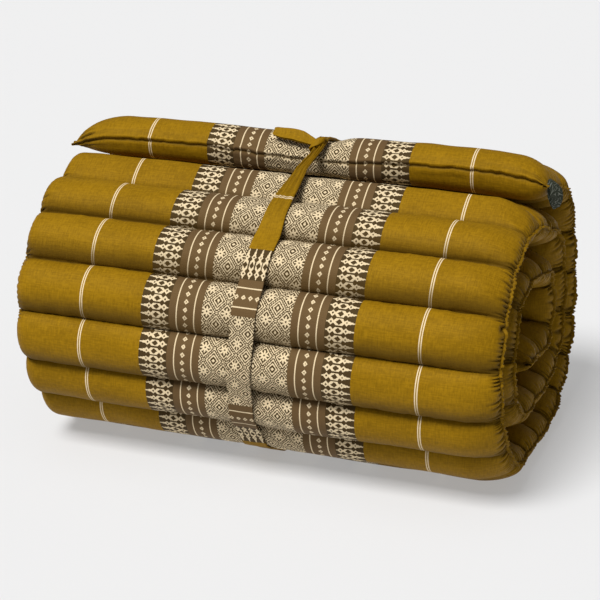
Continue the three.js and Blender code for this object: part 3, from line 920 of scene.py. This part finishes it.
def cloth_material(name):
    """The cover's cloth: an olive twill field with a double pinstripe, and the woven bands
    in cream on brown, all drawn from the piece's place on the flat cloth, then darkened
    towards a brown by each point's painted shade."""
    material = bpy.data.materials.new(name)
    material.use_nodes = True
    tree = material.node_tree
    tree.nodes.clear()
    place = tree.nodes.new("ShaderNodeAttribute")
    place.attribute_name = "cloth"
    split = tree.nodes.new("ShaderNodeSeparateXYZ")
    tree.links.new(place.outputs["Vector"], split.inputs[0])
    raw_across = abs(Signal(tree, split.outputs[0]))
    raw_along = Signal(tree, split.outputs[1])
    across = raw_across.stepped(PIXEL)
    along = raw_along.stepped(PIXEL)
    in_lattice = across < LATTICE_EDGE
    in_band = across.between(LATTICE_EDGE, BORDER_START)
    in_border = across.between(BORDER_START, BORDER_END)
    in_field = across > BORDER_END
    stripe = abs(abs(raw_across - PINSTRIPE) - 1.05) < 0.58
    cream = lattice(across, along) * in_lattice
    cream = cream + plain_band(across, along) * in_band
    cream = cream + chain_border(across, along) * in_border
    cream = cream + stripe * in_field

    def mixed(share, first, second):
        node = tree.nodes.new("ShaderNodeMix")
        node.data_type = "RGBA"
        tree.links.new(share.socket if isinstance(share, Signal) else share, node.inputs["Factor"])
        for value, socket in ((first, node.inputs["A"]), (second, node.inputs["B"])):
            if isinstance(value, tuple):
                socket.default_value = (*value, 1)
            else:
                tree.links.new(value, socket)
        return node.outputs["Result"]

    def speckle(scale_across, scale_along, detail):
        stretch = tree.nodes.new("ShaderNodeMapping")
        stretch.inputs["Scale"].default_value = (scale_across, scale_along, 1)
        tree.links.new(place.outputs["Vector"], stretch.inputs[0])
        texture = tree.nodes.new("ShaderNodeTexNoise")
        texture.inputs["Scale"].default_value = 1.0
        texture.inputs["Detail"].default_value = detail
        tree.links.new(stretch.outputs[0], texture.inputs["Vector"])
        return Signal(tree, texture.outputs["Fac"])

    threads = speckle(0.9, 0.10, 3)
    weft = speckle(0.07, 0.9, 3)
    cloudy = speckle(0.012, 0.02, 3)
    slubs = speckle(0.35, 0.30, 2)
    streaks = (threads + weft - 1.0) * 1.9 + (slubs - 0.5) * 1.2 + (cloudy - 0.5) * 1.4
    field = mixed((streaks + 0.5).clamped(), OLIVE_DARK, OLIVE)
    brown = mixed(in_band, DARK_BROWN, BROWN)
    ground = mixed(in_field, brown, field)
    woven = mixed(cream * (threads * 0.5 + 0.72), ground, CREAM)
    # Painted shade: each point's shade darkens the colour towards a brown.
    crease = Signal(tree, split.outputs[2])
    colour = mixed((crease * PAINTED_SHADE_STRENGTH).clamped(), woven, PAINTED_SHADE_BROWN)

    shader = tree.nodes.new("ShaderNodeBsdfPrincipled")
    shader.inputs["Roughness"].default_value = 0.6
    shader.inputs["Specular IOR Level"].default_value = 0.12
    shader.inputs["Specular Tint"].default_value = (1.0, 0.78, 0.32, 1)
    shader.inputs["Sheen Weight"].default_value = 0.02
    shader.inputs["Sheen Roughness"].default_value = 0.5
    shader.inputs["Sheen Tint"].default_value = (0.95, 0.72, 0.30, 1)
    tree.links.new(colour, shader.inputs["Base Color"])
    bump = tree.nodes.new("ShaderNodeBump")
    bump.inputs["Strength"].default_value = 0.5
    bump.inputs["Distance"].default_value = 0.0006
    height = threads * 0.7 + weft * 0.7 + cream * 0.5 + slubs * 0.5
    tree.links.new(height.socket, bump.inputs["Height"])
    tree.links.new(bump.outputs["Normal"], shader.inputs["Normal"])
    output = tree.nodes.new("ShaderNodeOutputMaterial")
    tree.links.new(shader.outputs[0], output.inputs["Surface"])
    return material


def label_material(name):
    """The label's tape: dark green weave, with paler patches at random: a painted highlight."""
    material = bpy.data.materials.new(name)
    material.use_nodes = True
    tree = material.node_tree
    shader = tree.nodes["Principled BSDF"]
    place = tree.nodes.new("ShaderNodeAttribute")
    place.attribute_name = "cloth"
    weave = tree.nodes.new("ShaderNodeTexNoise")
    weave.inputs["Scale"].default_value = 0.45
    weave.inputs["Detail"].default_value = 4
    tree.links.new(place.outputs["Vector"], weave.inputs["Vector"])
    # Painted highlight: pale grey patches over the dark green, spread at random.
    painted_highlight_patches = tree.nodes.new("ShaderNodeValToRGB")
    painted_highlight_patches.color_ramp.elements[0].position = 0.52
    painted_highlight_patches.color_ramp.elements[0].color = (*LABEL_GREEN, 1)
    painted_highlight_patches.color_ramp.elements[1].position = 0.80
    painted_highlight_patches.color_ramp.elements[1].color = (*LABEL_PAINTED_HIGHLIGHT, 1)
    tree.links.new(weave.outputs["Fac"], painted_highlight_patches.inputs["Fac"])
    tree.links.new(painted_highlight_patches.outputs["Color"], shader.inputs["Base Color"])
    shader.inputs["Roughness"].default_value = 0.75
    shader.inputs["Specular IOR Level"].default_value = 0.2
    return material


def plain_material(name, colour, roughness):
    """A finish of one even colour."""
    material = bpy.data.materials.new(name)
    material.use_nodes = True
    tree = material.node_tree
    shader = tree.nodes["Principled BSDF"]
    shader.inputs["Base Color"].default_value = (*colour, 1)
    shader.inputs["Roughness"].default_value = roughness
    return material


def finish(piece, material, slot, *nodes):
    """Gives a piece its material and says what it rides on and replaces; the slot argument, what it
    is made of, is not used.
    """
    piece.data.materials.append(material)
    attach(piece, "root")
    if nodes:
        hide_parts(*nodes)


def make_camera():
    """The photograph's view: 20 degrees round to the right and 21 degrees up."""
    camera = bpy.data.cameras.new("camera")
    camera.lens = CAMERA_LENS
    camera.sensor_width = 36
    camera.shift_x, camera.shift_y = CAMERA_SHIFT
    holder = bpy.data.objects.new("camera", camera)
    holder.location = CAMERA_AT
    towards = Vector(CAMERA_TARGET) - holder.location
    holder.rotation_euler = towards.to_track_quat("-Z", "Y").to_euler()
    bpy.context.scene.collection.objects.link(holder)
    bpy.context.scene.camera = holder


def make_sun(name, azimuth, elevation, strength, spread):
    """A soft distant light from a side and height given in degrees; azimuth 0 is the front."""
    light = bpy.data.lights.new(name, "SUN")
    light.energy = strength
    light.angle = math.radians(spread)
    holder = bpy.data.objects.new(name, light)
    a = math.radians(azimuth)
    e = math.radians(elevation)
    away = Vector((math.sin(a) * math.cos(e), -math.cos(a) * math.cos(e), math.sin(e)))
    holder.rotation_euler = away.to_track_quat("Z", "Y").to_euler()
    bpy.context.scene.collection.objects.link(holder)


def make_studio():
    """A pale floor that glows a little, an even pale surround and two soft lights."""
    corners = [(-20, -20, 0), (20, -20, 0), (20, 20, 0), (-20, 20, 0)]
    mesh = bpy.data.meshes.new("floor")
    mesh.from_pydata(corners, [], [(0, 1, 2, 3)])
    floor = bpy.data.objects.new("floor", mesh)
    bpy.context.scene.collection.objects.link(floor)
    pale = plain_material("pale_floor", FLOOR_GREY, 0.9)
    shader = pale.node_tree.nodes["Principled BSDF"]
    shader.inputs["Emission Color"].default_value = (1, 1, 1, 1)
    shader.inputs["Emission Strength"].default_value = FLOOR_GLOW
    floor.data.materials.append(pale)
    world = bpy.data.worlds.new("surround")
    bpy.context.scene.world = world
    world.use_nodes = True
    world.node_tree.nodes["Background"].inputs["Color"].default_value = (1, 1, 1, 1)
    world.node_tree.nodes["Background"].inputs["Strength"].default_value = 0.16
    make_sun("key", azimuth=-20, elevation=56, strength=3.98, spread=24)
    make_sun("top", azimuth=-10, elevation=74, strength=0.35, spread=60)
    bpy.context.scene.view_settings.view_transform = "Standard"


make_studio()
make_camera()
cloth = cloth_material("patterned_cover")
line = middle_line()
rows = rows_on(line)
mat, mat_points, face_count = make_mat(rows)
finish(mat, cloth, "cover", "mat")
for column, name, sign in ((0, "left_seam", -1), (face_count - 1, "right_seam", 1)):
    lip = make_seam_lip(rows, mat_points, face_count, column, name, sign)
    finish(lip, cloth, "cover")
strap, strap_length = make_strap(rows)
finish(strap, cloth, "strap", "tie")
knot = make_knot()
ear, ear_length = make_ear()
for piece in (knot, make_wrap(), ear):
    finish(piece, cloth, "strap")
label, label_length = make_label()
finish(label, label_material("label_tape"), "label", "label")
